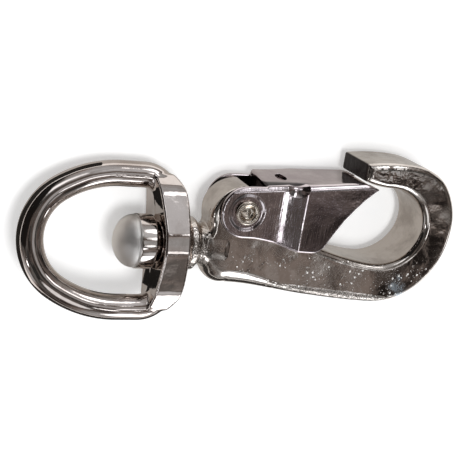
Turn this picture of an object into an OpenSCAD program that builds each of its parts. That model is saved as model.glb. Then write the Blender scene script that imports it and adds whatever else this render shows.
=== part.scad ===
// Swivel snap hook: a cast hook with a spring gate, and a strap eye that
// turns on a headed swivel pin. The hook lies on its side.
// X runs along the swivel axis from the eye to the hook's bowl, Y across
// the hook towards its mouth, and Z up from the hook's lower side face.
// The origin is on that face, below the bowl's end and on the swivel axis.
// The lengths below run from the gate's rivet, which lies origin_x behind it.

/* [Hook] */
// Thickness of the nose and the bowl
hook_t = 15; // [14:0.1:17]
// Thickness of the shank that the gate straddles
shank_t = 11.9; // [11:0.1:12.2]
// Thickness of the hump at the rivet
hump_t = 9.8; // [9:0.1:10]
// Distance from the rivet to the centre of the bowl
bowl_x = 38.5; // [36:0.1:44]
// Height of the bowl's centre above the swivel axis
bowl_y = 8.2; // [7.5:0.1:9]
// Half the width of the bowl's hollow
bowl_rx = 11.5; // [10.5:0.1:12.5]
// Half the height of the bowl's hollow
bowl_ry = 10.3; // [9.6:0.1:11]
// Thickness of the nose at its tip
nose_wall = 4.3; // [3.6:0.1:5]
// Thickness of the bowl at its far end
end_wall = 9.1; // [7.5:0.1:10.5]
// Thickness of the bowl below its hollow
floor_wall = 10.4; // [9:0.1:11.5]
// Distance from the rivet to the nose's tip
nose_x = 30.4; // [29:0.1:31]
// Rounding of the long edges
edge_r = 2.1; // [1:0.1:2.6]
// Outer radius of the hump around the rivet
hump_r = 8.1; // [7.8:0.1:8.6]
// Width of the slot for the gate's spring
slot_w = 5.4; // [5:0.1:6]

/* [Gate] */
// Thickness of the sheet
sheet_t = 1.2; // [1:0.05:1.3]
// Clearance between the sheet and the casting, on each side
gate_gap = 0.2; // [0.15:0.05:0.3]
// Height of the rivet above the swivel axis
rivet_y = 10.2; // [9.8:0.1:10.6]
// Radius of the lobe round the rivet
lobe_r = 6.6; // [6:0.1:7]
// Slope of the web up to the nose, in degrees
web_rise = 5.5; // [4.5:0.1:5.7]
// Gap between the closed gate and the nose
stop_gap = 0.45; // [0.35:0.05:0.6]
// Diameter of the small hole in the web
web_hole_d = 2.8; // [2:0.1:3.5]

/* [Rivet] */
// Diameter of the rivet's shank
rivet_d = 4.6; // [4:0.1:5]
// Running clearance of the gate on the rivet, on the radius
rivet_gap = 0.05; // [0.03:0.01:0.08]
// Diameter of the rolled rims
rim_d = 6.3; // [6:0.1:7]
// Diameter of the hollow in each end
hollow_d = 3.7; // [3:0.1:4]

/* [Spring] */
// Diameter of the wire
wire_d = 0.9; // [0.7:0.05:1]
// Number of turns
coil_turns = 4; // [3:1:4]

/* [Swivel] */
// Diameter of the pin's head
head_d = 13.4; // [12:0.1:14]
// Length of the head's cylindrical rim
head_rim = 4; // [3:0.1:5]
// Height of the head's dome
dome_h = 5.3; // [4:0.1:6]
// Diameter of the pin's shank
pin_d = 7.6; // [6:0.1:8.4]
// Running clearance of the pin in the crossbar, on the radius
pin_gap = 0.05; // [0.03:0.01:0.08]
// Play of the crossbar along the pin, at each face
end_play = 0.2; // [0.1:0.05:0.4]
// Diameter of the shoulder between the head and the crossbar
shoulder_d = 10; // [9:0.1:11]
// Length of that shoulder
shoulder_t = 0.8; // [0.5:0.1:1.2]
// Diameter of the hook's collar
collar_d = 13.2; // [12:0.1:14]

/* [Eye] */
// Width of the strap that fits between the limbs
eye_w = 25.7; // [24:0.1:28]
// Clear length of the eye, from the crossbar to the bow
eye_len = 27; // [25:0.1:32]
// Diameter of the bow's rod
rod_d = 6.3; // [5.5:0.1:7]
// Thickness of the crossbar along the pin
bar_t = 7; // [6:0.1:8.5]
// Depth of the crossbar at its ends
bar_end_t = 11.5; // [10:0.1:12.5]
// Depth of the crossbar's boss at the pin
boss_t = 18.4; // [16:0.1:19]
// Bow of the crossbar towards the hook
bar_sag = 1.1; // [0.8:0.1:1.4]
// Radius of the bow's corners at the crossbar
corner_r = 6.5; // [5.5:0.1:7]
// Turn of the eye as it lies, in degrees
eye_tilt = 15; // [10:1:20]

/* [Hidden] */
$fn = 64;

nickel = "silver";
axis_z = hook_t / 2;

// The part's origin lies below the bowl's end wall
origin_x = bowl_x + bowl_rx + 1.3;
module placed() {
    translate([-origin_x, 0, 0])
        children();
}

// Places along the swivel axis
collar_x = -13.1;
bar_outer_x = collar_x - end_play;
bar_inner_x = bar_outer_x - bar_t;
shoulder_x = bar_inner_x - end_play;
head_x = shoulder_x - shoulder_t;

// Spine of the hook: each station is its X and Y, its width across the
// spine, and its thickness. The first run is the nose, the second the bowl.
function mix(a, b, t) = a + (b - a) * t;
function ease(t) = let (c = min(max(t, 0), 1)) c * c * (3 - 2 * c);
nose_flare = 2.2;
function bowl_wall(a) =
    a > 0
    ? mix(end_wall, nose_wall + nose_flare, ease((a - 35) / 55))
    : mix(end_wall, floor_wall, ease(-a / 75));
function bowl_station(a) =
    let (w = bowl_wall(a))
    [bowl_x + (bowl_rx + w / 2) * cos(a), bowl_y + (bowl_ry + w / 2) * sin(a), w, hook_t];

// Underside of the nose, which the closed gate meets; it falls to the bowl
nose_drop = 1.5;
nose_y = bowl_y + bowl_ry + nose_drop;
nose_mid_wall = mix(nose_wall, nose_wall + nose_flare, 0.6);
nose_run = [
    [nose_x, nose_y + nose_wall / 2, nose_wall, hook_t],
    [mix(nose_x, bowl_x, 0.5), nose_y - nose_drop * 0.67 + nose_mid_wall / 2, nose_mid_wall, hook_t]
];
bowl_run = [for (a = [90:-15:-90]) bowl_station(a)];

// The shank runs back from the bowl, deepening under the gate
belly_y = bowl_y - bowl_ry - floor_wall;
belly_rise = 2.9;
heel_x = -hump_r - 0.9;
hump_top_y = 8.6;
function shank_top(x) = mix(bowl_y - bowl_ry, hump_top_y, pow(min(max((bowl_x - x) / (bowl_x - 3), 0), 1), 1.5));
function shank_belly(x) = mix(belly_y, belly_y + belly_rise, ease((bowl_x - x) / (bowl_x + 4)));
function shank_thick(x) = x > 20 ? mix(shank_t, hook_t, ease((x - 31) / 10)) : mix(hump_t, shank_t, ease((x - 10.5) / 7));
function shank_station(x, shy) =
    [x, (shank_top(x) + shank_belly(x)) / 2, shank_top(x) - shank_belly(x) - 2 * shy, shank_thick(x) - shy / 2];
shank_run = [
    for (x = [bowl_x - 4:-4:0]) shank_station(x, 0),
    shank_station(heel_x + 5.4, 0.7),
    shank_station(heel_x + 2.6, 1.9),
    shank_station(heel_x + 0.9, 3.4),
    shank_station(heel_x, 5)
];
spine = concat(nose_run, bowl_run, shank_run);

// A rounded rectangle of width w and height h, counter-clockwise
corner_steps = 5;
function round_rect(w, h, r) = [
    for (c = [0:3], i = [0:corner_steps])
        let (
            a = 90 * (c + i / corner_steps),
            sx = (c == 0 || c == 3) ? 1 : -1,
            sy = (c < 2) ? 1 : -1
        )
        [sx * (w / 2 - r) + r * cos(a), sy * (h / 2 - r) + r * sin(a)]
];

// Skin over closed rings of points, all with the same count
module skin(rings) {
    n = len(rings[0]);
    last = len(rings) - 1;
    points = [for (ring = rings, p = ring) p];
    sides = [
        for (k = [0:last - 1], i = [0:n - 1])
            let (j = (i + 1) % n)
            [k * n + i, (k + 1) * n + i, (k + 1) * n + j, k * n + j]
    ];
    cap_a = [for (i = [0:n - 1]) i];
    cap_b = [for (i = [n - 1:-1:0]) last * n + i];
    polyhedron(points, concat([cap_a], sides, [cap_b]));
}

// Direction of the spine at station k, from its neighbours
function heading(s, k) =
    let (
        a = s[max(k - 1, 0)],
        b = s[min(k + 1, len(s) - 1)]
    )
    atan2(b[1] - a[1], b[0] - a[0]);

function spine_ring(s, k) =
    let (
        q = s[k],
        a = heading(s, k),
        r = min(edge_r, q[2] / 2 - 0.3, q[3] / 2 - 0.3)
    )
    [for (p = round_rect(q[2], q[3], r)) [q[0] - p.x * sin(a), q[1] + p.x * cos(a), axis_z + p.y]];

module cast_hook() {
    skin([for (k = [0:len(spine) - 1]) spine_ring(spine, k)]);
}

// Solid of revolution about the swivel axis; the profile is [x, radius]
module turned(profile) {
    translate([0, 0, axis_z])
        rotate([90, 0, 90])
            rotate_extrude()
                polygon([for (p = profile) [p[1], p[0]]]);
}

neck_r = collar_d / 2 - 1.5;
collar_t = 2.6;
module neck() {
    turned([
        [heel_x + 5, 0],
        [collar_x, 0],
        [collar_x, collar_d / 2 - 0.6],
        [collar_x + 0.6, collar_d / 2],
        [collar_x + collar_t - 0.6, collar_d / 2],
        [collar_x + collar_t, collar_d / 2 - 0.6],
        [collar_x + collar_t + 0.7, neck_r],
        [heel_x - 0.6, neck_r],
        [heel_x + 0.4, neck_r + 0.5],
        [heel_x + 5, neck_r + 0.5]
    ]);
}

hump_y = rivet_y - 2;
hump_edge = 1;
slot_r = 4.3;
hump_cut_x = 0.4;
module hump() {
    translate([0, hump_y, axis_z - hump_t / 2])
        rotate_extrude($fn = 96)
            polygon([
                [0, 0],
                [hump_r - hump_edge, 0],
                [hump_r - hump_edge * 0.3, hump_edge * 0.3],
                [hump_r, hump_edge],
                [hump_r, hump_t - hump_edge],
                [hump_r - hump_edge * 0.3, hump_t - hump_edge * 0.3],
                [hump_r - hump_edge, hump_t],
                [0, hump_t]
            ]);
}

// Room under the web, between the hump's roof and the shank
module web_room() {
    translate([hump_cut_x, rivet_y + rivet_d / 2 + 1.4, 0])
        cube([hump_r + 2, hump_r + 2, hook_t]);
}

// Slot that holds the spring's coil and lets its legs out under the web
module spring_slot() {
    translate([0, rivet_y, axis_z - slot_w / 2])
        cylinder(r = slot_r, h = slot_w);
    translate([hump_cut_x, rivet_y - slot_r, axis_z - slot_w / 2])
        cube([hump_r + 6, slot_r + hump_r + 2, slot_w]);
}

module rivet_hole(r) {
    translate([0, rivet_y, -1])
        cylinder(r = r, h = hook_t + 2);
}

pin_depth = 8;
module hook_body() {
    placed() color(nickel)
        difference() {
            union() {
                cast_hook();
                neck();
                hump();
            }
            web_room();
            spring_slot();
            rivet_hole(rivet_d / 2);
            turned([
                [collar_x - 1, 0],
                [collar_x - 1, pin_d / 2],
                [collar_x + pin_depth, pin_d / 2],
                [collar_x + pin_depth, 0]
            ]);
        }
}

// Dome of the head as a quarter ellipse, from the rim to the crown
dome_steps = 8;
rim_x = head_x - head_rim;
module swivel_pin() {
    placed() color(nickel)
        turned(concat(
            [
                [collar_x + pin_depth, 0],
                [collar_x + pin_depth, pin_d / 2],
                [shoulder_x, pin_d / 2],
                [shoulder_x, shoulder_d / 2],
                [head_x, shoulder_d / 2],
                [head_x, head_d / 2 - 0.4],
                [head_x - 0.4, head_d / 2]
            ],
            [for (i = [0:dome_steps]) [rim_x - dome_h * sin(90 * i / dome_steps), head_d / 2 * cos(90 * i / dome_steps)]]
        ));
}

// The bow is an oval: a small arc round its end and two wide arcs beside
// it, which meet the straight limbs
limb_y = eye_w / 2 + rod_d / 2;
bow_x = bar_inner_x - eye_len - rod_d / 2;
end_arc = limb_y * 0.86;
limb_x = bow_x + limb_y * 1.33;
bow_dx = limb_x - bow_x - end_arc;
bow_dy = limb_y - end_arc;
bow_d = (bow_dx * bow_dx + bow_dy * bow_dy) / (2 * bow_dy);
side_arc = end_arc + bow_d;
bow_turn = atan2(bow_dx, bow_d - bow_dy);

// Points along half of the bow's centreline, each with its heading: from
// the crossbar round its corner, along the limb, round the wide arc, to the
// end of the bow
bow_corner_steps = 4;
side_steps = 7;
end_steps = 6;
bar_mid_x = bar_outer_x - bar_t / 2 - bar_sag / 2;
bow_half = concat(
    [for (i = [0:bow_corner_steps])
        let (a = 90 * i / bow_corner_steps)
        [bar_mid_x - corner_r + corner_r * cos(a), limb_y - corner_r + corner_r * sin(a), 90 + a]],
    [for (i = [0:side_steps])
        let (a = bow_turn * i / side_steps)
        [limb_x - side_arc * sin(a), limb_y - side_arc + side_arc * cos(a), 180 + a]],
    [for (i = [1:end_steps])
        let (a = mix(bow_turn, 90, i / end_steps))
        [bow_x + end_arc - end_arc * sin(a), end_arc * cos(a), 180 + a]]
);
bow_path = concat(
    bow_half,
    [for (i = [len(bow_half) - 2:-1:0]) [bow_half[i].x, -bow_half[i].y, 540 - bow_half[i].z]]
);
rod_sides = 24;
function rod_ring(q) = [
    for (i = [0:rod_sides - 1])
        let (b = 360 * i / rod_sides)
        [q.x - rod_d / 2 * cos(b) * sin(q.z), q.y + rod_d / 2 * cos(b) * cos(q.z), rod_d / 2 * sin(b)]
];

module bow() {
    skin([for (q = bow_path) rod_ring(q)]);
}

// Crossbar as a bowed lens, skinned over sections along it: each station is
// its Y, the middle of the section in X, its width and its depth
boss_flat = 2.4;
bar_edge_r = 1.1;
bar_y = eye_w / 2;
function bar_mid(y) = bar_outer_x - bar_t / 2 - bar_sag * pow(y / bar_y, 2);
function bar_depth(y) = mix(boss_t, bar_end_t, max(abs(y) - boss_flat, 0) / (bar_y - boss_flat));
bar_tip_y = limb_y + 0.4;
bar_half_run = concat(
    [for (y = [0, boss_flat, 0.4 * bar_y, 0.7 * bar_y, bar_y]) [y, bar_mid(y), bar_t, bar_depth(y)]],
    [
        [mix(bar_y, bar_tip_y, 0.5), bar_mid(bar_y) - 1, bar_t - 1.2, mix(bar_end_t, rod_d, 0.35)],
        [bar_tip_y, bar_mid(bar_y) - 2.4, bar_t - 3.2, rod_d * 0.9]
    ]
);
bar_run = concat(
    [for (i = [len(bar_half_run) - 1:-1:1]) let (q = bar_half_run[i]) [-q.x, q.y, q.z, q[3]]],
    bar_half_run
);
module crossbar() {
    skin([for (q = bar_run) [for (p = round_rect(q[3], q.z, bar_edge_r)) [q.y + p.y, q.x, p.x]]]);
}

module swivel_eye() {
    placed() color(nickel)
        translate([0, 0, axis_z])
            rotate([-eye_tilt, 0, 0])
                difference() {
                    union() {
                        bow();
                        crossbar();
                    }
                    translate([bar_inner_x - 1, 0, 0])
                        rotate([0, 90, 0])
                            cylinder(r = pin_d / 2 + pin_gap, h = bar_t + 2);
                }
}

// Half widths of the gate inside, behind and ahead of its joggle
rear_in = hump_t / 2 + gate_gap;
front_in = shank_t / 2 + gate_gap + 0.05;
joggle_x = 9.2;
joggle_len = 5.8;
web_x = 4.4;
web_end_x = nose_x + 0.8;
fold_r = sheet_t + 0.3;
web_hole_x = joggle_x + 1;
web_tip_y = nose_y - stop_gap;
function web_y(x) = web_tip_y - (web_end_x - x) * tan(web_rise);

// Half of the channel's section, from the flange's foot over the fold
fold_steps = 4;
function fold(half, top, r) = [
    for (i = [0:fold_steps])
        let (a = 90 * i / fold_steps)
        [half - r + r * cos(a), top - r + r * sin(a)]
];
function channel_ring(x, half, top, foot, r) =
    let (right = concat([[half, foot]], fold(half, top, r)))
    [
        for (p = right) [x, p.y, axis_z - p.x],
        for (i = [len(right) - 1:-1:0]) [x, right[i].y, axis_z + right[i].x]
    ];
channel_foot = -6;
channel_from = -10;
channel_to = 40;
module channel(shy) {
    rear = rear_in + sheet_t - shy;
    front = front_in + sheet_t - shy;
    r = fold_r - shy;
    foot = channel_foot - shy;
    skin([
        channel_ring(channel_from, rear, web_y(channel_from) - shy, foot, r),
        channel_ring(joggle_x, rear, web_y(joggle_x) - shy, foot, r),
        channel_ring(joggle_x + joggle_len, front, web_y(joggle_x + joggle_len) - shy, foot, r),
        channel_ring(channel_to, front, web_y(channel_to) - shy, foot, r)
    ]);
}

// Outline of a flange from the side: the lobe round the rivet, the foot,
// and the slanted front edge up to the tip
foot_y = 0.6;
foot_x = 18.6;
foot_r = 4.5;
tip_x = web_end_x + 3.6;
tip_y = nose_y - nose_drop - stop_gap;
module flange_outline() {
    translate([0, rivet_y])
        circle(r = lobe_r, $fn = 96);
    translate([foot_x, foot_y + foot_r])
        circle(r = foot_r);
    polygon([
        [0, rivet_y - lobe_r],
        [4, rivet_y - lobe_r - 0.2],
        [9.4, rivet_y - lobe_r - 1.5],
        [14.6, foot_y],
        [foot_x, foot_y],
        [foot_x + foot_r * 0.94, foot_y + foot_r * 0.66],
        [26.2, 9.2],
        [tip_x - 1.2, tip_y - 0.9],
        [tip_x, tip_y],
        [nose_x, web_tip_y + 0.15],
        [web_x, rivet_y + 12],
        [-0.6, rivet_y + lobe_r]
    ]);
}

// Shallow ring pressed into each flange round the rivet
dish_r = 4.3;
dish_w = 0.8;
dish_h = 0.25;
module dish(side) {
    translate([0, rivet_y, axis_z + side * (rear_in + sheet_t)])
        rotate_extrude($fn = 96)
            translate([dish_r, 0])
                polygon([[-dish_w / 2, 0.01], [0, -dish_h], [dish_w / 2, 0.01], [0, dish_h]]);
}

module gate() {
    placed() color(nickel)
        difference() {
            intersection() {
                channel(0);
                linear_extrude(hook_t + 2)
                    flange_outline();
            }
            channel(sheet_t);
            translate([-10, rivet_y - 2, axis_z - rear_in])
                cube([10 + web_x, 14, 2 * rear_in]);
            translate([-10, rivet_y + lobe_r - 0.05, 0])
                cube([10 + web_x, 14, hook_t]);
            translate([web_end_x, rivet_y - 2, axis_z - front_in])
                cube([10, 14, 2 * front_in]);
            rivet_hole(rivet_d / 2 + rivet_gap);
            translate([web_hole_x, web_y(web_hole_x), axis_z])
                rotate([90, 0, 0])
                    cylinder(d = web_hole_d, h = 4 * sheet_t, center = true);
            for (side = [-1, 1])
                dish(side);
        }
}

// Semi-tubular rivet, turned about its own axis; its rims clear the flanges
rivet_play = 0.08;
rim_h = 0.75;
rivet_half = rear_in + sheet_t + rivet_play;
hollow_depth = 1.4;
module rivet_side() {
    rotate_extrude()
        polygon([
            [0, 0],
            [rivet_d / 2, 0],
            [rivet_d / 2, rivet_half],
            [rim_d / 2 - 0.2, rivet_half],
            [rim_d / 2, rivet_half + rim_h * 0.35],
            [rim_d / 2 - 0.25, rivet_half + rim_h * 0.8],
            [(rim_d + hollow_d) / 4, rivet_half + rim_h],
            [hollow_d / 2 + 0.2, rivet_half + rim_h * 0.75],
            [hollow_d / 2, rivet_half + rim_h * 0.3],
            [hollow_d / 2, rivet_half + rim_h - hollow_depth],
            [hollow_d / 4, rivet_half + rim_h - hollow_depth * 0.72],
            [0, rivet_half + rim_h - hollow_depth * 0.6]
        ]);
}

module gate_rivet() {
    placed() color(nickel)
        translate([0, rivet_y, axis_z])
            for (m = [0, 1])
                mirror([0, 0, m])
                    rivet_side();
}

// Torsion spring, wound clockwise: a coil round the rivet, one leg on the
// slot's floor and one leg up to the web
coil_r = rivet_d / 2 + 0.35 + wire_d / 2;
coil_half = coil_turns * (wire_d + 0.08) / 2;
coil_steps = 16;
foot_leg = 5;
web_leg = 11.5;
web_leg_a = 90 + 12;
foot_leg_a = -90;
coil_sweep = 360 * (coil_turns - 1) + 270 - web_leg_a;
function coil_angle(t) = foot_leg_a - coil_sweep * t;
function coil_point(t) =
    let (a = coil_angle(t))
    [coil_r * cos(a), rivet_y + coil_r * sin(a), axis_z - coil_half + 2 * coil_half * t];
wire_sides = 8;
coil_rings = floor(coil_turns * coil_steps);

// Ring of the wire at angle a of the coil, moved by s along the wire
function wire_ring(c, a, s) =
    [for (i = [0:wire_sides - 1])
        let (b = 360 * i / wire_sides, r = wire_d / 2)
        [c.x + r * cos(b) * cos(a) + s * sin(a), c.y + r * cos(b) * sin(a) - s * cos(a), c.z + r * sin(b)]];

module gate_spring() {
    placed() color(nickel)
        skin(concat(
            [wire_ring(coil_point(0), foot_leg_a, -foot_leg)],
            [for (k = [0:coil_rings]) wire_ring(coil_point(k / coil_rings), coil_angle(k / coil_rings), 0)],
            [wire_ring(coil_point(1), web_leg_a, web_leg)]
        ));
}

hook_body();
swivel_pin();
swivel_eye();
gate();
gate_rivet();
gate_spring();
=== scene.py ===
import math
import bmesh
import bpy
import numpy as np
from mathutils import Matrix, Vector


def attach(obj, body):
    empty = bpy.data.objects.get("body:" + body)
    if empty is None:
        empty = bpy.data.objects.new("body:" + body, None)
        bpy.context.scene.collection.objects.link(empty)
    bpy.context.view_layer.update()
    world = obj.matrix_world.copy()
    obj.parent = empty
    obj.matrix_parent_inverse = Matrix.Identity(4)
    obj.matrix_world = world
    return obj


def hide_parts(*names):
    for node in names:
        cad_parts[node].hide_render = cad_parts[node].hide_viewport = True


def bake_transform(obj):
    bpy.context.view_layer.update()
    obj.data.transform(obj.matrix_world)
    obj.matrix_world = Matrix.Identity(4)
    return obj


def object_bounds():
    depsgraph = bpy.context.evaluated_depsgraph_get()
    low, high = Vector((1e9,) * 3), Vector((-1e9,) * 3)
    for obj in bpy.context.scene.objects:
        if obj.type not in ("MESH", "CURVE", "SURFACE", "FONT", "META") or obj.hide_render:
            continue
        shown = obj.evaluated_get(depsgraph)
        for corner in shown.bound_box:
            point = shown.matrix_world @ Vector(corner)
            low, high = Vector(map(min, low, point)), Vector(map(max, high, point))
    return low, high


# Lengths are millimetres from the gate's rivet on the swivel axis, with Z from
# the hook's middle plane, until meshPiece puts them into the frame in metres.
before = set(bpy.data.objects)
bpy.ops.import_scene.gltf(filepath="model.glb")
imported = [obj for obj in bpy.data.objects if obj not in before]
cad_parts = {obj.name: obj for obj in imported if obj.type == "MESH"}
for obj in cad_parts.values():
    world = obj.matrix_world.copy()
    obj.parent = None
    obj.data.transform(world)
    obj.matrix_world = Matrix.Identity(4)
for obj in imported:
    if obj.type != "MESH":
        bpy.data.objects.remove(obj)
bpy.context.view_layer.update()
originX = 51.3
axisZ = 7.5
poleR = 0.001  # radius of a row of points that stands for a pole
poleReach = 3e-6  # metres within which points merge
coarse = 1
print("frame loaded")


def mix(a, b, t):
    return a + (b - a) * t


def ease(t):
    t = np.clip(t, 0, 1)
    return t * t * (3 - 2 * t)


# 0 below 0 and 1 above 1, straight between: soft is how far the bend at 0 is
# rounded and softEnd how far the bend at 1 is
def ramp(t, soft, softEnd):
    return (np.sqrt(t * t + soft * soft) - np.sqrt((t - 1) ** 2 + softEnd * softEnd) + 1) / 2


# Eased way of a value between two places: 0 at the first and 1 at the second
def between(value, places):
    return ease((value - places[0]) / (places[1] - places[0]))


# Both of two solids, with the edge between them rounded to radius r
def meet(a, b, r):
    return np.minimum(np.maximum(a, b), -r) + np.hypot(np.maximum(a + r, 0), np.maximum(b + r, 0))


# Either of two solids, with a fillet of radius r in the corner between them
def join(a, b, r):
    return -meet(-a, -b, r)


# First solid without the second, with the edge rounded
def cut(a, b, r):
    return meet(a, -b, r)


# Signed distance to a closed outline, worked out on a square grid and read
# back with cubic B-spline weights, which leaves no facets in a reflection
def outlineField(points, cell=0.25, margin=4.0):
    p = np.asarray(points, float)
    low = p.min(0) - margin
    count = np.ceil((p.max(0) + margin - low) / cell).astype(int) + 4
    x, y = np.meshgrid(low[0] + cell * np.arange(count[0]), low[1] + cell * np.arange(count[1]), indexing="ij")
    near = np.full(x.shape, 1e9)
    inside = np.zeros(x.shape, bool)
    for a, b in zip(p, np.roll(p, -1, 0)):  # one side of the outline at a time
        d = b - a
        t = np.clip(((x - a[0]) * d[0] + (y - a[1]) * d[1]) / max(d @ d, 1e-12), 0, 1)
        near = np.minimum(near, (x - a[0] - t * d[0]) ** 2 + (y - a[1] - t * d[1]) ** 2)
        if abs(d[1]) > 1e-9:
            inside ^= ((a[1] > y) != (b[1] > y)) & (x < a[0] + (y - a[1]) * d[0] / d[1])
    value = np.where(inside, -1, 1) * np.sqrt(near)

    def weights(t):
        return ((1 - t) ** 3 / 6, (3 * t ** 3 - 6 * t * t + 4) / 6,
                (-3 * t ** 3 + 3 * t * t + 3 * t + 1) / 6, t ** 3 / 6)

    def read(u, v):
        s = np.clip((u - low[0]) / cell, 1, count[0] - 3.001)
        t = np.clip((v - low[1]) / cell, 1, count[1] - 3.001)
        i, j = np.floor(s).astype(int), np.floor(t).astype(int)
        total = 0
        for a, wa in enumerate(weights(s - i)):
            for b, wb in enumerate(weights(t - j)):
                total = total + wa * wb * value[i + a - 1, j + b - 1]
        return total

    return read


# Surface where a field of (x, y, z) is zero, made because a casting's fillets
# can't be had from one grid. Each cell of a lattice that the surface crosses
# gets one point, the mean of its crossings. Four cells round a crossed lattice
# edge make a face. The points then slide along the surface to even spacing and
# are put back on it by Newton's rule, and the normals are the field's slope.
def fieldSurface(field, low, high, cell):
    n = [int(math.ceil((high[k] - low[k]) / cell)) + 1 for k in range(3)]
    grid = [low[k] + cell * np.arange(n[k]) for k in range(3)]
    value = field(grid[0][:, None, None], grid[1][None, :, None], grid[2][None, None, :])
    value = np.ascontiguousarray(np.broadcast_to(value, n))
    inside = value < 0
    cells = [k - 1 for k in n]
    total = np.zeros(cells + [3])
    count = np.zeros(cells)
    index = np.indices(cells).transpose(1, 2, 3, 0).astype(float)
    for k in range(3):
        i, j = [m for m in range(3) if m != k]
        first = [slice(None)] * 3
        second = [slice(None)] * 3
        first[k], second[k] = slice(0, -1), slice(1, None)
        v0, v1 = value[tuple(first)], value[tuple(second)]
        crossed = (v0 < 0) != (v1 < 0)
        t = np.where(crossed, v0 / np.where(crossed, v0 - v1, 1), 0)
        for a in (0, 1):
            for b in (0, 1):
                part = [slice(None)] * 3
                part[i] = slice(a, a + cells[i])
                part[j] = slice(b, b + cells[j])
                c = crossed[tuple(part)]
                count += c
                total[..., k] += c * t[tuple(part)]
                total[..., i] += c * a
                total[..., j] += c * b
    used = count > 0
    number = np.full(cells, -1)
    number[used] = np.arange(used.sum())
    points = np.array(low) + cell * (index[used] + total[used] / count[used][:, None])
    faces = []
    for k in range(3):
        i, j = (k + 1) % 3, (k + 2) % 3
        first = [slice(1, -1)] * 3
        second = [slice(1, -1)] * 3
        first[k], second[k] = slice(0, -1), slice(1, None)
        starts, ends = inside[tuple(first)], inside[tuple(second)]
        at = np.argwhere(starts != ends)
        goesOut = starts[tuple(at.T)]
        at[:, i] += 1
        at[:, j] += 1
        corners = []
        for a, b in ((-1, -1), (0, -1), (0, 0), (-1, 0)):
            c = at.copy()
            c[:, i] += a
            c[:, j] += b
            corners.append(number[tuple(c.T)])
        quad = np.stack(corners, 1)
        faces.append(np.where(goesOut[:, None], quad, quad[:, ::-1]))
    faces = np.concatenate(faces)

    def slope(p, h=0.02):
        g = np.empty_like(p)
        for k in range(3):
            step = np.zeros(3)
            step[k] = h
            g[:, k] = (field(*(p + step).T) - field(*(p - step).T)) / (2 * h)
        return g

    # Newton's rule, with no step longer than 0.6 of a cell along the slope
    def settle(p, rounds):
        for _ in range(rounds):
            g = slope(p)
            push = field(*p.T) / np.maximum((g * g).sum(1), 0.25)
            p = p - np.clip(push, -0.6 * cell, 0.6 * cell)[:, None] * g
        return p

    points = settle(points, 3)
    ends = np.concatenate([faces[:, [0, 1]], faces[:, [1, 2]], faces[:, [2, 3]], faces[:, [3, 0]]])
    share = np.bincount(ends[:, 0], minlength=len(points)) + np.bincount(ends[:, 1], minlength=len(points))
    for _ in range(3):
        mean = np.stack([
            np.bincount(ends[:, 0], points[ends[:, 1], k], len(points))
            + np.bincount(ends[:, 1], points[ends[:, 0], k], len(points)) for k in range(3)], 1) / share[:, None]
        g = slope(points)
        g /= np.linalg.norm(g, axis=1)[:, None] + 1e-9
        move = 0.5 * (mean - points)
        move -= (move * g).sum(1)[:, None] * g
        points = settle(points + move, 2)
    normals = slope(points)
    normals /= np.linalg.norm(normals, axis=1)[:, None] + 1e-9
    return points, faces, normals


# Grid of points as quads, closed round its second direction. The caller's first
# and last rows lie so near their axis that meshPiece merges each to one point
def gridFaces(rows, columns):
    r, c = np.meshgrid(np.arange(rows - 1), np.arange(columns), indexing="ij")
    d = (c + 1) % columns
    quad = [r * columns + c, r * columns + d, (r + 1) * columns + d, (r + 1) * columns + c]
    return np.stack(quad, -1).reshape(-1, 4)


# Profile of (place along the axis, radius) turned about an axis: the two other
# coordinates are the radius times the cosine and the sine of the turn
def turnedSurface(profile, columns):
    p = np.asarray(profile, float)
    a = np.linspace(0, 2 * np.pi, columns, endpoint=False)
    along = np.repeat(p[:, :1], columns, 1)
    points = np.stack([along, p[:, 1:] * np.cos(a), p[:, 1:] * np.sin(a)], -1)
    return points.reshape(-1, 3), gridFaces(len(p), columns)


# Corner points joined by straight runs, with each corner replaced by an arc:
# both sides of the corner are met r from it and the curve between is quadratic
def softProfile(corners, r, steps=6):
    c = [np.array(p, float) for p in corners]
    out = [c[0]]
    for a, b, d in zip(c, c[1:], c[2:]):
        la, ld = np.linalg.norm(a - b), np.linalg.norm(d - b)
        s, e = b + (a - b) * min(r / la, 0.45), b + (d - b) * min(r / ld, 0.45)
        out += [(1 - t) ** 2 * s + 2 * t * (1 - t) * b + t * t * e for t in np.linspace(0, 1, steps)]
    return np.array(out + [c[-1]])


# Puts points in millimetres into a mesh in metres, in the frame of the solids.
# Without given normals the poles are merged and the faces turned outwards. The
# piece rides on its body, or, where blendTo is given, is left in the frame on no body.
def meshPiece(name, body, node, slot, points, faces, normals=None, blendTo=None):
    place = (np.asarray(points) + (-originX, 0, axisZ)) / 1000
    mesh = bpy.data.meshes.new(name)
    mesh.from_pydata(place.tolist(), [], np.asarray(faces).tolist())
    if normals is None:
        shell = bmesh.new()
        shell.from_mesh(mesh)
        bmesh.ops.remove_doubles(shell, verts=shell.verts, dist=poleReach)
        bmesh.ops.recalc_face_normals(shell, faces=shell.faces)
        shell.to_mesh(mesh)
        shell.free()
    mesh.validate()
    mesh.shade_smooth()
    piece = bpy.data.objects.new(name, mesh)
    bpy.context.scene.collection.objects.link(piece)
    if normals is not None:
        mesh.normals_split_custom_set_from_vertices(np.asarray(normals).tolist())
    if blendTo:
        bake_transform(piece)
    else:
        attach(piece, body)
    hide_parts(node)
    print(name, "has", len(mesh.vertices), "points")
    return piece


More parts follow.
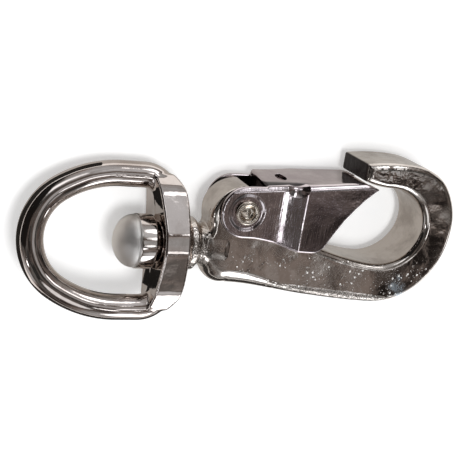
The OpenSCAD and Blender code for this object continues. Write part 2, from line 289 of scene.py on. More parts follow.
# The casting: nose, bowl, shank, hump and neck in one. A pair of places is
# where a thickness or an edge starts to change and where it has changed.
hookSet = dict(
    bowlX=38.5, bowlY=8.2, bowlRx=11.5, bowlRy=10.3, noseWall=4.29, noseFlare=2.2, endWall=9.1, floorWall=10.4,
    flareTurn=(35, 90), floorTurn=(0, -75), noseX=30.4, noseDrop=1.5, bellyRise=2.9, bellyEnd=-4, tailX=-6,
    topEnd=3, topBend=1.5, heelX=-9.0, heelY=-2.0, heelTop=3.0, heelStart=-2.6, bottomEnd=-2.5,
    halfBowl=7.5, halfShank=5.95, halfHump=4.9, shankSwell=(3, 27), bowlSwell=(20, 46),
    noseSwellX=(25, 29), noseSwellY=(7, 14), edgeR=1.7, heelEdge=4.8, heelEdgeX=(20, -2), heelEdgeY=(-1.5, -6.5),
    humpEdge=1.0, humpEdgeX=(15, 12), humpEdgeY=(7, 11), humpTop=8.6, humpR=8.1, humpDrop=2, humpFillet=0.8,
    neckFillet=1.2, roomX=(0.4, 14.5), roomFloor=3.7, roomEdge=0.25, slotHalf=2.7, slotR=4.3, slotEdge=0.2,
    rivetHole=2.35, pinHole=3.85, pinHoleEnd=-5, low=(-14.5, -14, -8.6), high=(60.4, 26.5, 8.6), cell=0.36)
pivotY = 10.2


def hookOutline(s):
    a = np.radians(np.linspace(90, -90, 91))
    deg = np.degrees(a)
    wall = np.where(deg > 0, mix(s["endWall"], s["noseWall"] + s["noseFlare"], between(deg, s["flareTurn"])),
                    mix(s["endWall"], s["floorWall"], between(deg, s["floorTurn"])))
    turn = np.stack([np.cos(a), np.sin(a)], 1)
    centre = np.array((s["bowlX"], s["bowlY"]))
    radii = np.array((s["bowlRx"], s["bowlRy"]))
    inner = centre + radii * turn
    outer = centre + (radii + wall[:, None]) * turn
    t = np.linspace(0, 1, 16)[:-1]
    noseX = mix(s["noseX"], s["bowlX"], t)
    noseY = s["bowlY"] + s["bowlRy"] + s["noseDrop"]
    noseTop = noseY + s["noseWall"]
    under = np.stack([noseX, noseY - s["noseDrop"] * (1 - (1 - t) ** 2)], 1)
    over = np.stack([noseX, noseTop + (outer[0, 1] - noseTop) * (1 - (1 - t) ** 2)], 1)
    x = np.linspace(s["bowlX"], s["tailX"], 90)[1:]
    shankTop = s["bowlY"] - s["bowlRy"]
    top = mix(shankTop, s["humpTop"], np.clip((s["bowlX"] - x) / (s["bowlX"] - s["topEnd"]), 0, 1) ** s["topBend"])
    belly = shankTop - s["floorWall"] + s["bellyRise"] * between(x, (s["bowlX"], s["bellyEnd"]))
    keep = x > s["bottomEnd"]
    b = np.radians(np.linspace(-80, -180, 14))
    heel = np.stack([s["heelStart"] + (s["heelX"] - s["heelStart"]) * -np.cos(b),
                     s["heelY"] + (belly[keep][-1] - s["heelY"]) * -np.sin(b)], 1)
    return np.concatenate([
        over, outer, np.stack([x, belly], 1)[keep], heel,
        [[s["heelX"], s["heelTop"]], [s["tailX"], s["humpTop"] - 1]],
        np.stack([x, top], 1)[::-1], inner[::-1], under[::-1]])


# Half profile of the neck and its collar, carried on past the axis, so that
# the distance has no edge there
neckProfile = [(-13.1, 0), (-13.1, 6.0), (-12.5, 6.6), (-11.1, 6.6), (-10.5, 6.0), (-9.8, 5.1), (-8.4, 5.1),
               (-7.2, 4.5), (-3.6, 4.5), (-3.6, -5), (-13.1, -5)]
neckField = outlineField(neckProfile)
bodyField = outlineField(hookOutline(hookSet))


def hookField(x, y, z):
    s = hookSet
    z = np.abs(z)
    shank = mix(s["halfHump"], s["halfShank"], between(x, s["shankSwell"]))
    shank = mix(shank, s["halfBowl"], between(x, s["bowlSwell"]))
    half = mix(shank, s["halfBowl"], between(x, s["noseSwellX"]) * between(y, s["noseSwellY"]))
    edge = mix(s["edgeR"], s["heelEdge"], between(x, s["heelEdgeX"]) * between(y, s["heelEdgeY"]))
    edge = mix(edge, s["humpEdge"], between(y, s["humpEdgeY"]) * between(x, s["humpEdgeX"]))
    hump = np.hypot(x, y - pivotY + s["humpDrop"]) - s["humpR"]
    solid = meet(join(bodyField(x, y), hump, s["humpFillet"]), z - half, edge)
    solid = join(solid, neckField(x, np.hypot(y, z)), s["neckFillet"])
    start, end = s["roomX"]
    room = np.maximum(np.maximum(start - x, x - end), pivotY + s["roomFloor"] - y)
    solid = cut(solid, room, s["roomEdge"])
    ring = np.hypot(x, y - pivotY)
    legs = np.maximum(np.maximum(start - x, pivotY - s["slotR"] - y), x - end)
    slot = np.minimum(ring - s["slotR"], legs)
    solid = cut(solid, np.maximum(z - s["slotHalf"], slot), s["slotEdge"])
    solid = np.maximum(solid, s["rivetHole"] - ring)
    return np.maximum(solid, np.minimum(s["pinHole"] - np.hypot(y, z), s["pinHoleEnd"] - x))


hookPiece = meshPiece("hookCasting", "hook", "hook_body", "cast_nickel",
                      *fieldSurface(hookField, hookSet["low"], hookSet["high"], hookSet["cell"] * coarse))

# The strap eye: a round bow and the bowed lens of the crossbar, one casting
eyeSet = dict(
    width=25.7, length=27.0, rod=6.3, barOuter=-13.3, barT=7.0, barSag=1.1, bossT=18.4, endT=11.5, bossFlat=2.4,
    lensSoft=0.8, tipSlope=0.85, cornerR=6.5, cornerRoom=0.15, endRoom=0.6, lineInset=0.55, endArc=0.86,
    limbStart=1.33, lensEdge=0.55, tipEdge=0.6, endEdge=0.5, fillet=0.5, bore=3.87, boreHalf=6, boreEdge=0.2,
    tilt=15, room=4.5, roomX=-11.5, roomZ=10.4, cell=0.34)
limbY = eyeSet["width"] / 2 + eyeSet["rod"] / 2
bowX = eyeSet["barOuter"] - eyeSet["barT"] - eyeSet["length"] - eyeSet["rod"] / 2
barMid = eyeSet["barOuter"] - eyeSet["barT"] / 2
cornerX = barMid - eyeSet["lineInset"] - eyeSet["cornerR"]
cornerY = limbY - eyeSet["cornerR"]


# Centreline of the bow: a small arc round its end, a wide arc at each side,
# the straight limbs, and the corners at the crossbar, which closes it
def bowLine():
    endArc = limbY * eyeSet["endArc"]
    limbX = bowX + limbY * eyeSet["limbStart"]
    dx, dy = limbX - bowX - endArc, limbY - endArc
    sideArc = endArc + (dx * dx + dy * dy) / (2 * dy)
    turn = math.atan2(dx, sideArc - endArc - dy)
    c = np.linspace(0, np.pi / 2, 24)
    corner = np.stack([cornerX + eyeSet["cornerR"] * np.cos(c), cornerY + eyeSet["cornerR"] * np.sin(c)], 1)
    a = np.linspace(0, turn, 30)
    side = np.stack([limbX - sideArc * np.sin(a), limbY - sideArc + sideArc * np.cos(a)], 1)
    b = np.linspace(turn, np.pi / 2, 40)[1:]
    end = np.stack([bowX + endArc - endArc * np.sin(b), endArc * np.cos(b)], 1)
    half = np.concatenate([corner, side, end])
    return np.concatenate([half, (half * (1, -1))[::-1][1:]])


bowField = outlineField(bowLine())


def eyeField(x, y, z):
    s = eyeSet
    bow = np.hypot(bowField(x, y), z) - s["rod"] / 2
    y = np.abs(y)
    z = np.abs(z)
    barY = s["width"] / 2
    middle = barMid - s["barSag"] * (y / barY) ** 2
    slopeY = (s["bossT"] - s["endT"]) / 2 / (barY - s["bossFlat"])
    past = y - s["bossFlat"]
    fall = np.maximum(np.sqrt(past ** 2 + s["lensSoft"]) * 0.5 + past * 0.5, 0)
    lens = (z - s["bossT"] / 2 + slopeY * fall) / math.hypot(1, slopeY)
    tip = (z - s["endT"] / 2 + s["tipSlope"] * (y - barY)) / math.hypot(1, s["tipSlope"])
    bar = meet(np.abs(x - middle) - s["barT"] / 2, lens, s["lensEdge"])
    bar = meet(bar, tip, s["tipEdge"])
    corner = np.hypot(np.maximum(x - cornerX, 0), np.maximum(y - cornerY, 0))
    bar = meet(bar, corner - s["cornerR"] - s["rod"] / 2 - s["cornerRoom"], s["endEdge"])
    bar = meet(bar, y - limbY - s["endRoom"], s["endEdge"])
    hole = np.maximum(np.hypot(y, z) - s["bore"], np.abs(x - barMid) - s["boreHalf"])
    return cut(join(bow, bar, s["fillet"]), hole, s["boreEdge"])


low = (bowX - eyeSet["room"], -limbY - eyeSet["room"], -eyeSet["roomZ"])
high = (eyeSet["roomX"], limbY + eyeSet["room"], eyeSet["roomZ"])
points, faces, normals = fieldSurface(eyeField, low, high, eyeSet["cell"] * coarse)
turn = math.radians(eyeSet["tilt"])
tilt = np.array([[1, 0, 0], [0, math.cos(turn), math.sin(turn)], [0, -math.sin(turn), math.cos(turn)]])
eyePiece = meshPiece("strapEye", "eye", "swivel_eye", "eye_nickel", points @ tilt.T, faces, normals @ tilt.T)

# The gate: a folded channel whose flanges step out over the shank. The web
# rises by one slope on the near side and by another on the far side. The
# lattice's low corner is placed so that no edge of the mesh has four faces.
gateSet = dict(
    sheet=1.2, rearHalf=6.3, frontHalf=7.4, stepX=9.5, stepLen=5.5, stepSoft=(0.30, 0.04), fold=1.5, endX=31.2,
    tipTop=19.55, rise=0.0963, riseFar=0.038, twistHalf=7, webScale=0.996, lobe=6.6, webX=4.4, webDrop=2,
    dishR=4.25, dishBand=0.6, dishWall=1.0, dishDepth=0.16, dentAt=(12.5, 17.3, 7), dentSize=(2.9, 2.7, 2.6),
    dentDepth=1.35, edgeR=0.55, notchEdge=0.15, holeX=10.2, holeR=1.3, holeStretch=1.7, holeFloor=12, holeEdge=0.2,
    pivotHole=2.36, low=(-7.66, -0.45, -8.2), high=(36.0, 21.4, 8.2), cell=0.24)
gateTip = (gateSet["endX"] + 3.6, 18.05)
gateLower = [(3.0, pivotY - 6.66), (5.5, pivotY - 7.0), (8.0, 2.75), (9.8, 2.25), (12.4, 1.25), (14.6, 0.75)]
gateFoot = dict(x=18.6, y=5.1, r=4.5)
gateFront = [(24.3, 6.1), (26.4, 9.4), (28.9, 12.5), (31.4, 15.2), (gateTip[0] - 1.2, gateTip[1] - 0.9), gateTip,
             (30.4, 19.72), (gateSet["webX"], 22.2)]


def gateOutline(s):
    a = np.radians(np.linspace(93, 270, 60))
    lobe = np.stack([s["lobe"] * np.cos(a), pivotY + s["lobe"] * np.sin(a)], 1)
    b = np.radians(np.linspace(-90, -22, 16))
    foot = np.stack([gateFoot["x"] + gateFoot["r"] * np.cos(b), gateFoot["y"] + gateFoot["r"] * np.sin(b)], 1)
    lobeTop = [(s["webX"], pivotY + s["lobe"] + 0.02), (0, pivotY + s["lobe"])]
    return np.concatenate([lobe, gateLower, foot, gateFront, lobeTop])


gateEdge = outlineField(gateOutline(gateSet), cell=0.2)


def gateField(x, y, z):
    s = gateSet
    side = z
    z = np.abs(z)
    flange = mix(s["rearHalf"], s["frontHalf"], ramp((x - s["stepX"]) / s["stepLen"], *s["stepSoft"]))
    ring = np.hypot(x, y - pivotY)
    dish = s["dishDepth"] * ease((s["dishR"] + s["dishBand"] - ring) / s["dishWall"])
    rise = mix(s["riseFar"], s["rise"], np.clip((side + s["twistHalf"]) / (2 * s["twistHalf"]), 0, 1))
    top = (y - s["tipTop"] + (s["endX"] - x) * rise) * s["webScale"]
    pit = np.sqrt(sum(((v - at) / size) ** 2 for v, at, size in zip((x, y, side), s["dentAt"], s["dentSize"])))
    dent = s["dentDepth"] * np.clip(1 - pit, 0, 1)
    skin = meet(z - flange + dish, top, s["fold"]) + dent
    sheet = np.abs(skin + s["sheet"] / 2) - s["sheet"] / 2
    solid = meet(sheet, gateEdge(x, y), s["edgeR"])
    inside = np.maximum(pivotY - s["webDrop"] - y, z - flange + s["sheet"])
    solid = cut(solid, np.maximum(x - s["webX"], inside), s["notchEdge"])
    solid = cut(solid, np.maximum(s["endX"] - x, inside), s["notchEdge"])
    hole = np.maximum(np.hypot(x - s["holeX"], z / s["holeStretch"]) - s["holeR"], s["holeFloor"] - y)
    return np.maximum(cut(solid, hole, s["holeEdge"]), s["pivotHole"] - ring)


gatePiece = meshPiece("gateChannel", "gate", "gate", "sheet_nickel",
                      *fieldSurface(gateField, gateSet["low"], gateSet["high"], gateSet["cell"] * coarse))

# The swivel pin: shank, shoulder, rim and dome, turned about the swivel axis
pinSet = dict(shankR=3.8, shoulderR=5.0, shoulderX=-20.8, headX=-21.3, headR=6.7, rim=4.0, rimSlopeX=0.35,
              rimSlopeR=0.25, dome=5.3, end=-5.1, edge=0.5, columns=128)
s = pinSet
t = np.linspace(0, math.pi / 2, 28)
rimX = s["headX"] - s["rim"]
domeX = rimX - s["rimSlopeX"]
domeR = s["headR"] - s["rimSlopeR"]
dome = np.stack([domeX - (s["dome"] - s["rimSlopeX"]) * np.sin(t), domeR * np.cos(t)], 1)
dome[-1, 1] = poleR
side = softProfile([
    (s["end"], poleR), (s["end"], s["shankR"]), (s["shoulderX"], s["shankR"]), (s["shoulderX"], s["shoulderR"]),
    (s["headX"], s["shoulderR"]), (s["headX"], s["headR"]), (rimX, s["headR"]), (domeX, domeR)], s["edge"])
points, faces = turnedSurface(np.concatenate([side, dome[1:]]), s["columns"])
pinPiece = meshPiece("swivelPin", "hook", "swivel_pin", "turned_nickel", points, faces[:, ::-1])

# The tubular rivet: a shank with a rolled rim and a hollow at both ends
rivetSet = dict(shankR=2.3, half=6.38, rimR=3.15, rimH=0.75, rimSlope=0.25, hollowR=1.85, mouth=0.15, throat=0.1,
                hollowDepth=1.1, floorIn=0.6, floorShare=0.6, edge=0.42, columns=96)
s = rivetSet
top = s["half"] + s["rimH"]
side = softProfile([
    (0, s["shankR"]), (s["half"], s["shankR"]), (s["half"], s["rimR"]), (top, s["rimR"] - s["rimSlope"]),
    (top, s["hollowR"] + s["mouth"]), (s["half"] + s["throat"], s["hollowR"] - s["mouth"]),
    (top - s["hollowDepth"], s["hollowR"] - s["floorIn"]), (top - s["hollowDepth"] * s["floorShare"], poleR)],
    s["edge"], 8)
points, faces = turnedSurface(np.concatenate([(side * (-1, 1))[::-1], side[1:]]), s["columns"])
points = np.stack([points[:, 1], points[:, 2] + pivotY, points[:, 0]], 1)
rivetPiece = meshPiece("gateRivet", "hook", "gate_rivet", "rivet_nickel", points, faces[:, ::-1])

# The torsion spring: a tube along a helix with a straight leg at each end
springSet = dict(wire=0.9, coilR=3.1, coilGap=0.08, turns=4, footLeg=5.0, webLeg=11.3, webAngle=102, sides=14,
                 coilRings=220, footRings=7, webRings=13)
s = springSet
sweep = 360 * (s["turns"] - 1) + 270 - s["webAngle"]
u = np.linspace(0, 1, s["coilRings"])
a = np.radians(-90 - sweep * u)
rise = s["turns"] * (s["wire"] + s["coilGap"]) / 2
coil = np.stack([s["coilR"] * np.cos(a), pivotY + s["coilR"] * np.sin(a), mix(-rise, rise, u)], 1)
webA = math.radians(s["webAngle"])
footX = np.linspace(s["footLeg"], 0, s["footRings"] + 1)[:-1]
footRun = np.stack([footX, 0 * footX, 0 * footX], 1) + coil[0]
webWay = np.linspace(0, s["webLeg"], s["webRings"] + 1)[1:, None]
webRun = coil[-1] + webWay * (math.sin(webA), -math.cos(webA), 0)
path = np.concatenate([footRun, coil, webRun])
outward = np.concatenate([
    np.tile((0, -1, 0), (s["footRings"], 1)), np.stack([np.cos(a), np.sin(a), 0 * a], 1),
    np.tile((math.cos(webA), math.sin(webA), 0), (s["webRings"], 1))])
b = np.linspace(0, 2 * np.pi, s["sides"], endpoint=False)
radius = np.full(len(path) + 2, s["wire"] / 2)
radius[[0, -1]] = poleR
path = np.concatenate([path[:1], path, path[-1:]])
outward = np.concatenate([outward[:1], outward, outward[-1:]])
points = (path[:, None] + radius[:, None, None] * (np.cos(b)[None, :, None] * outward[:, None]
          + np.sin(b)[None, :, None] * np.array((0, 0, 1)))).reshape(-1, 3)
# It is left in the frame on no body; blendTo names the gate and two heights on the gate's pivot
springPiece = meshPiece("gateSpring", "hook", "gate_spring", "spring_wire", points, gridFaces(len(path), s["sides"]),
                        blendTo=("gate", (-0.0513, 0.0102, 0.006), (-0.0513, 0.0102, 0.009)))
print("pieces made")


# A socket with the sums of ordinary numbers: each operator adds a Math node
class Value:
    def __init__(self, nodes, socket):
        self.nodes, self.socket = nodes, socket

    def math(self, kind, *others):
        return self.nodes.add("ShaderNodeMath", {"operation": kind}, [self, *others])

    def __add__(self, other): return self.math("ADD", other)
    def __sub__(self, other): return self.math("SUBTRACT", other)
    def __mul__(self, other): return self.math("MULTIPLY", other)
    def __truediv__(self, other): return self.math("DIVIDE", other)
    def __pow__(self, other): return self.math("POWER", other)
    def __rsub__(self, other): return self.nodes.add("ShaderNodeMath", {"operation": "SUBTRACT"}, [other, self])
    def __rtruediv__(self, other): return self.nodes.add("ShaderNodeMath", {"operation": "DIVIDE"}, [other, self])
    def __neg__(self): return self * -1
    __radd__ = __add__
    __rmul__ = __mul__


class Nodes:
    def __init__(self, owner):
        owner.use_nodes = True
        self.tree = owner.node_tree
        self.tree.nodes.clear()

    # Any node: its settings first, then the values or links of its sockets
    def add(self, kind, settings=None, sockets=(), out=0):
        node = self.tree.nodes.new(kind)
        for key, value in (settings or {}).items():
            setattr(node, key, value)
        pairs = sockets.items() if isinstance(sockets, dict) else enumerate(sockets)
        for key, value in pairs:
            if isinstance(value, Value):
                self.tree.links.new(value.socket, node.inputs[key])
            else:
                node.inputs[key].default_value = value
        return Value(self, node.outputs[out]) if node.outputs else None

    # Smooth step from 0 at one value to 1 at another
    def step(self, value, start, end):
        return self.add("ShaderNodeMapRange", {"interpolation_type": "SMOOTHSTEP"}, {0: value, 1: start, 2: end})

    def noise(self, where, scale, detail=3.0, rough=0.5):
        return self.add("ShaderNodeTexNoise", None, {
            "Vector": where, "Scale": scale, "Detail": detail, "Roughness": rough})

    # Vector scaled by its own factor along each axis
    def stretch(self, where, factors):
        return self.add("ShaderNodeVectorMath", {"operation": "MULTIPLY"}, [where, factors])

    def tint(self, share, a, b):
        return self.add("ShaderNodeMix", {"data_type": "RGBA"}, {0: share, 6: a, 7: b}, out=2)


# Places of the plate's marks and of its painted shade and sheen, in metres of the shared frame.
# In a pair a mark starts at the first place and is full at the second.
markSet = dict(
    endX=(-0.0203, -0.0209), endY=(0.0190, 0.0197), roomStart=(-0.0511, -0.0507), roomEnd=(-0.0360, -0.0366),
    roomY=(0.0130, 0.0137), neckX=(-0.0585, -0.0605), sheenAt=(-0.0060, -0.0085, 0.015), sheenR=(0.0105, 0.0060),
    seamSlope=0.078, seamY=0.0135, seamBand=(0.0024, 0.0012), seamX=(-0.046, -0.034), seamZ=(0.0036, 0.0052),
    browX=(-0.030, -0.016), browY=(0.0150, 0.0190), middleZ=0.0075, insideZ=(0.0056, 0.0053), webY=(0.0190, 0.0187),
    webEndX=0.0201, webTwist=-0.0582 / 0.014, webRise=0.0983, satinX=(-0.0764, -0.0768), pitX=(-0.047, -0.028),
    pitY=(0.001, -0.006), pitZ=(0.0080, 0.0105))


# Nickel plate. Long waves and fine ripple bend the reflections, and stains and
# a thin haze change the colour and the roughness. Pits are a cell pattern:
# each cell's point sinks a small hollow, in the places that a noise lets by,
# and each hollow is painted near-white and not metal, a painted glint. The
# casting's marks paint shade on the nose's end and in the gate's room, roughen
# the neck, the lower edge and the nose, and lay a lighter bluish patch on the
# bowl, a painted sheen. On the folded sheet's inside shade is painted, and the
# dome makes the pin's head satin.
def nickel(name, piece, colour, stain, rough, waves=0.0, ripple=0.0, pits=0.0, brushed=0.0, cloudy=0.03,
           castMarksShadeAndSheen=False, inner=False, dome=False):
    material = bpy.data.materials.new(name)
    n = Nodes(material)
    where = n.add("ShaderNodeTexCoord", out=3)
    cloud = n.noise(where, 90, 5, 0.65)
    speck = n.noise(where, 900, 3, 0.6)
    haze = n.step(cloud, 0.40, 0.66)
    base = n.tint(haze, (*colour, 1), (*stain, 1))
    roughness = haze * (rough * 0.4 + cloudy) + speck * (rough * 0.6) + rough * 0.4
    height = n.noise(where, 60, 2) * (waves * 0.0007) + n.noise(where, 420, 2) * (ripple * 0.00004)
    metallic = 1.0
    axes = [n.add("ShaderNodeSeparateXYZ", None, [where], out=k) for k in range(3)]
    m = markSet
    aside = (axes[2] - m["middleZ"]).math("ABSOLUTE")
    if castMarksShadeAndSheen:
        # Painted shade: the nose's end face is painted nearly black, as the shade it lies in
        end = n.step(axes[0], *m["endX"]) * n.step(axes[1], *m["endY"])
        base = n.tint(end, base, (0.02, 0.015, 0.015, 1))
        # Painted shade: the gate's room between the hump and the web is painted dark, as the shade inside it
        room = n.step(axes[0], *m["roomStart"]) * n.step(axes[0], *m["roomEnd"]) * n.step(axes[1], *m["roomY"])
        base = n.tint(room, base, (0.04, 0.03, 0.03, 1))
        height = height + n.noise(where, 850, 2) * n.step(axes[0], *m["neckX"]) * 0.0003
        # Painted sheen: a lighter, bluish and rougher patch on the bowl
        reach = n.add("ShaderNodeVectorMath", {"operation": "DISTANCE"}, [where, m["sheenAt"]], out=1)
        ragged = reach + n.noise(where, 420, 4, 0.7) * 0.011
        bluishSheen = n.step(ragged, *m["sheenR"]) * n.step(n.noise(where, 260, 3), 0.40, 0.60)
        base = n.tint(bluishSheen, base, (0.58, 0.65, 0.71, 1))
        roughness = roughness + bluishSheen * 0.22
        seam = n.step(axes[1] + axes[0] * m["seamSlope"] + m["seamY"], *m["seamBand"])
        seam = seam * n.step(axes[0], *m["seamX"]) * n.step(aside, *m["seamZ"])
        height = height + n.noise(where, 780, 3, 0.6) * seam * 0.0004
        brow = n.step(axes[1], *m["browY"]) * n.step(axes[0], *m["browX"])
        height = height + n.noise(where, 240, 3) * brow * 0.0003
    if inner:
        # Painted shade: the channel's inside, between the flanges and under the web, is painted dark
        ceiling = axes[1] - (axes[2] * m["webTwist"] + m["webRise"]) * (axes[0] + m["webEndX"])
        insideShade = n.step(aside, *m["insideZ"]) * n.step(ceiling, *m["webY"])
        base = n.tint(insideShade, base, (0.05, 0.045, 0.045, 1))
    if dome:
        satin = n.step(axes[0], *m["satinX"])
        roughness = roughness + satin * 0.38
        base = n.tint(satin, base, (0.97, 0.93, 0.89, 1))
    if brushed:
        grain = n.noise(n.stretch(where, (2600, 130, 300)), 1.0, 2)
        height = height + grain * (brushed * 0.000014)
        roughness = roughness + grain * (brushed * 0.05)
    if pits:
        low = n.step(axes[1], *m["pitY"]) * n.step(axes[2], *m["pitZ"])
        some = n.step(n.noise(where, 230, 2) + n.step(axes[0], *m["pitX"]) * 0.09, 0.52, 0.64)
        cells = n.add("ShaderNodeTexVoronoi", None, {"Vector": where, "Scale": 700.0, "Randomness": 1.0})
        fine = n.add("ShaderNodeTexVoronoi", None, {"Vector": where, "Scale": 1500.0, "Randomness": 1.0})
        pitAndGlint = (n.step(cells, 0.24, 0.08) + n.step(fine, 0.20, 0.05)) * low * some
        height = height - pitAndGlint * (pits * 0.0001)
        # Painted glint: each pit is painted near-white and not metal, so it shows as a bright speck
        base = n.tint(pitAndGlint, base, (0.92, 0.90, 0.87, 1))
        metallic = 1.0 - pitAndGlint.math("MINIMUM", 1.0)
    bump = n.add("ShaderNodeBump", None, {"Strength": 1.0, "Distance": 1.0, "Height": height})
    shader = n.add("ShaderNodeBsdfPrincipled", None, {
        "Base Color": base, "Metallic": metallic, "Roughness": roughness, "Normal": bump})
    n.add("ShaderNodeOutputMaterial", None, [shader])
    piece.data.materials.clear()
    piece.data.materials.append(material)


nickel("castNickel", hookPiece, (0.66, 0.60, 0.55), (0.45, 0.40, 0.36), 0.075, waves=1.0, ripple=1.0, pits=1.0,
       cloudy=0.12, castMarksShadeAndSheen=True)
nickel("eyeNickel", eyePiece, (0.64, 0.57, 0.53), (0.50, 0.43, 0.39), 0.06, waves=0.7, ripple=0.6)
nickel("sheetNickel", gatePiece, (0.63, 0.56, 0.56), (0.50, 0.43, 0.44), 0.07, waves=0.5, ripple=0.9, brushed=1.0,
       inner=True)
nickel("turnedNickel", pinPiece, (0.62, 0.56, 0.52), (0.54, 0.48, 0.44), 0.10, waves=0.2, ripple=0.5, dome=True)
nickel("rivetNickel", rivetPiece, (0.78, 0.70, 0.61), (0.60, 0.50, 0.41), 0.26, ripple=2.2)
nickel("springSteel", springPiece, (0.45, 0.44, 0.43), (0.34, 0.32, 0.30), 0.25, ripple=0.5)
print("materials made")

# The floor: matt, with a glow of its own for the camera and in the metal
stageSet = dict(floor=0.92, floorHalf=3, glow=0.28, dome=0.56, sky=0.085, skyHigh=1.7, skyLow=0.25, dimmest=0.015,
                cardShare=0.5)
half = stageSet["floorHalf"]
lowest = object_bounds()[0][2]
floorMesh = bpy.data.meshes.new("floor")
corners = [(-half, -half), (half, -half), (half, half), (-half, half)]
floorMesh.from_pydata([(x, y, lowest) for x, y in corners], [], [(0, 1, 2, 3)])
floor = bpy.data.objects.new("floor", floorMesh)
bpy.context.scene.collection.objects.link(floor)
material = bpy.data.materials.new("paleFloor")
n = Nodes(material)
path = n.add("ShaderNodeLightPath")
matt = n.add("ShaderNodeBsdfDiffuse", None, {"Color": (stageSet["floor"],) * 3 + (1,)})
seen = path.math("MAXIMUM", n.add("ShaderNodeLightPath", out=3)).math("MAXIMUM", n.add("ShaderNodeLightPath", out=6))
glow = n.add("ShaderNodeEmission", None, {"Color": (1, 1, 1, 1), "Strength": seen * stageSet["glow"]})
n.add("ShaderNodeOutputMaterial", None, [n.add("ShaderNodeAddShader", None, [matt, glow])])
floorMesh.materials.append(material)

# Room that only the metal sees: a dim, uneven ceiling with round soft boxes,
# each a smooth step of the angle from its own direction. One of a strength
# below 0 darkens what lies behind it. The matt floor sees an even dome, and the
# camera sees white.
boxSet = [  # azimuth, elevation, radius, width of its edge, strength
    (78, 28, 22, 18, 0.42),
    (62, 27, 8, 2, 3.0),
    (61, 42, 12, 4, 0.26),
    (28, 67, 9, 3, 0.40),
    (100, 44, 8, 3, 1.2),
    (256, 60, 13, 3, 1.1),
    (290, 18, 20, 14, 0.40),
    (295, 27, 12, 4, 3.4),
    (303, 48, 6, 3, 0.6),
    (328, 12, 4.5, 1.5, 2.6),
    (47, 54, 5, 1.5, 2.4),
    (354, 70, 3.5, 1, 2.0),
    (316, 70.4, 3.2, 1, 3.0),
    (313, 62, 4, 2, 0.17),
    (326, 50.5, 3, 2, 0.03),
    (216, 5, 14, 9, 0.45),
    (203, 34, 3.5, 1, 5.0),
    (341, 22, 4, 1, 3.2),
    (318, 4, 12, 8, 0.5),
    (190, 22, 26, 20, 0.05),
    (346, 56, 4.5, 1.5, 0.46),
    (329, 53, 4, 3, -0.05),
    (335, 68, 5, 2, 0.10),
    (145, 14, 36, 12, -0.40),
]
# Flat cards that only the metal sees, which paint shade into its reflections: a
# grey one under the object, a painted shadow of the object on the floor, dark
# ones before it and beside the bow, which give its lower edges their painted
# shade, and two small dark leaves beside the pin's head, a painted shadow of the
# pin and the crossbar for the crossbar's left face
shadeCardSet = [  # name, height above the floor, grey, corners
    ("greyShadeCard", 0.0002, 0.60, [(-68, -26), (60, -26), (60, 36), (-68, 36)]),
    ("frontShadeCard", 0.0003, 0.05, [(-60, -25), (58, -23), (110, -170), (-110, -170)]),
    ("upperShadowLeaf", 0.0005, 0.02, [(-21.8, 13), (-23.2, 6.5), (-26, 3.5), (-29.5, 2.5), (-29.5, 6.5), (-26.5, 11)]),
    ("lowerShadowLeaf", 0.0006, 0.02, [(-23, -13.5), (-22.8, -9), (-25.5, -5.5), (-29, -5.5), (-31, -10), (-27, -14)]),
    ("darkShadeCard", 0.0004, 0.03, [(-46, -25), (-53, -14), (-56.5, -2), (-56, 9), (-51, 17), (-44, 21.5), (-34, 23.5),
                                (-30, 90), (-150, 90), (-150, -60)]),
]
for name, height, grey, corners in shadeCardSet:
    cardMesh = bpy.data.meshes.new(name)
    spots = [((x - originX) / 1000, y / 1000, lowest + height) for x, y in corners]
    cardMesh.from_pydata(spots, [], [tuple(range(len(spots)))])
    card = bpy.data.objects.new(name, cardMesh)
    bpy.context.scene.collection.objects.link(card)
    card.visible_camera = card.visible_diffuse = card.visible_shadow = False
    material = bpy.data.materials.new(name)
    n = Nodes(material)
    paper = (grey, grey * 0.97, grey * 0.93, 1)
    shine = n.add("ShaderNodeEmission", None, {"Color": paper, "Strength": stageSet["cardShare"]})
    matt = n.add("ShaderNodeBsdfDiffuse", None, {"Color": tuple(v * stageSet["cardShare"] for v in paper[:3]) + (1,)})
    n.add("ShaderNodeOutputMaterial", None, [n.add("ShaderNodeAddShader", None, [matt, shine])])
    cardMesh.materials.append(material)

world = bpy.data.worlds.new("studio")
bpy.context.scene.world = world
n = Nodes(world)
world.cycles.sampling_method = "NONE"
direction = n.add("ShaderNodeTexCoord")
clutter = n.step(n.noise(direction, 5.0, 3, 0.6), 0.36, 0.66)
light = clutter * (stageSet["sky"] * stageSet["skyHigh"]) + stageSet["sky"] * stageSet["skyLow"]
for azimuth, elevation, radius, edge, strength in boxSet:
    a, e = math.radians(azimuth), math.radians(elevation)
    axis = (math.cos(a) * math.cos(e), math.sin(a) * math.cos(e), math.sin(e))
    along = n.add("ShaderNodeVectorMath", {"operation": "DOT_PRODUCT"}, [direction, axis], out=1)
    box = n.step(along, math.cos(math.radians(radius + edge)), math.cos(math.radians(max(radius - edge, 0))))
    light = box * strength + light
light = light.math("MAXIMUM", stageSet["dimmest"])
hue = n.tint(n.step(n.noise(direction, 3.1, 2), 0.4, 0.6), (1.0, 0.85, 0.79, 1), (0.95, 0.96, 0.95, 1))
hue = n.tint(n.step(light, 0.2, 0.6), hue, (0.96, 1.0, 1.05, 1))
warm = n.add("ShaderNodeBackground", None, {"Color": hue, "Strength": light})
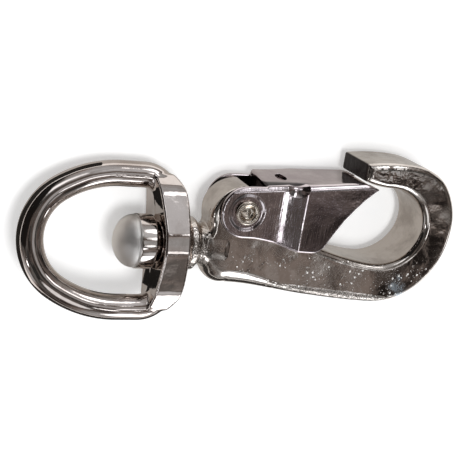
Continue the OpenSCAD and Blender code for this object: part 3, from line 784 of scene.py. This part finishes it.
dome = n.add("ShaderNodeBackground", None, {"Color": (1, 1, 1, 1), "Strength": stageSet["dome"]})
white = n.add("ShaderNodeBackground", None, {"Color": (1, 1, 1, 1), "Strength": 1.0})
inMetal = n.add("ShaderNodeMixShader", None, [n.add("ShaderNodeLightPath", out=3), dome, warm])
around = n.add("ShaderNodeMixShader", None, [n.add("ShaderNodeLightPath"), inMetal, white])
n.add("ShaderNodeOutputWorld", None, [around])

lampSet = [  # name, place, size, power, seen in reflections
    ("overhead", (-0.06, 0.0, 0.60), 0.20, 1.7, False),
]
lampAim = (-0.025, 0.005, 0.005)
for name, place, size, power, seenInGloss in lampSet:
    light = bpy.data.lights.new(name, "AREA")
    light.shape = "DISK"
    light.size = size
    light.energy = power
    lamp = bpy.data.objects.new(name, light)
    bpy.context.scene.collection.objects.link(lamp)
    aim = -np.array(place) + lampAim
    back = -aim / np.linalg.norm(aim)
    right = np.cross((0, 1, 0), back)
    right /= np.linalg.norm(right)
    turnTo = np.stack([right, np.cross(back, right), back], 1)
    lamp.matrix_world = Matrix.Translation(place) @ Matrix(turnTo.tolist()).to_4x4()
    lamp.visible_glossy = seenInGloss
print("stage made")

# Camera of the photograph: 1000 pixels of focal length for 470 of width
cameraSet = dict(
    place=(-146.644, 73.826, 226.509), right=(0.92262, 0.15548, 0.35298), up=(-0.03543, 0.94545, -0.32384),
    back=(-0.38408, 0.28627, 0.87780), sensor=36, focal=1000 / 470 * 36, near=0.01)
data = bpy.data.cameras.new("camera")
data.sensor_fit = "HORIZONTAL"
data.sensor_width = cameraSet["sensor"]
data.lens = cameraSet["focal"]
data.clip_start = cameraSet["near"]
camera = bpy.data.objects.new("camera", data)
bpy.context.scene.collection.objects.link(camera)
axes = np.stack([cameraSet["right"], cameraSet["up"], cameraSet["back"]], 1)
camera.matrix_world = Matrix.Translation([v / 1000 for v in cameraSet["place"]]) @ Matrix(axes.tolist()).to_4x4()
bpy.context.scene.camera = camera
bpy.context.scene.view_settings.view_transform = "Standard"
